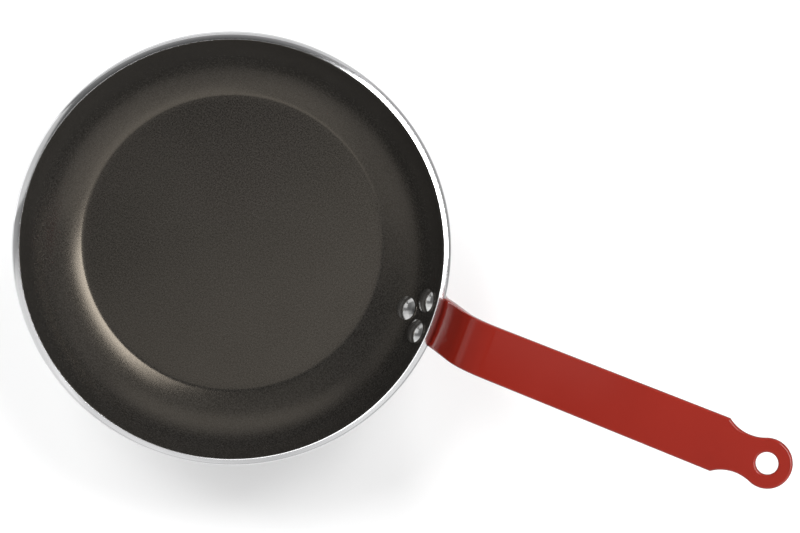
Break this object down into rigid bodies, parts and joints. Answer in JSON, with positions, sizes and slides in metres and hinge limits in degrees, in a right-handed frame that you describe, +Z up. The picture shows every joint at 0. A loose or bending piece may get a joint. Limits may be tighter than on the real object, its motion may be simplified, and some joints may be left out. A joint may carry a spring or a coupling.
{
  "type": "nonstick frying pan",
  "caption": "Round aluminium frying pan with a dark nonstick lining, sloped walls and a riveted, red-painted strip-steel handle that rises past the rim and ends in a hanging eye.",
  "frame": {"origin": "middle of the base's flat underside, on the pan's axis", "axes": "+X along the handle, away from the pan; +Z up out of the pan; +Y to the left of someone who looks along the handle from the pan"},
  "size_m": [0.5048, 0.2798, 0.1434],
  "materials": {
    "aluminium": "bare metal, finely turned on the rim and the base, satin outside",
    "nonstick": "fine-grained satin lining, warm dark grey",
    "red_paint": "smooth gloss red coat on steel",
    "rivet_metal": "polished heads"
  },
  "bodies": {
    "root": {"pan_body": "aluminium", "nonstick_lining": "nonstick", "handle": "red_paint", "rivet_upper_left": "rivet_metal", "rivet_upper_right": "rivet_metal", "rivet_lower": "rivet_metal"}
  },
  "joints": []
}
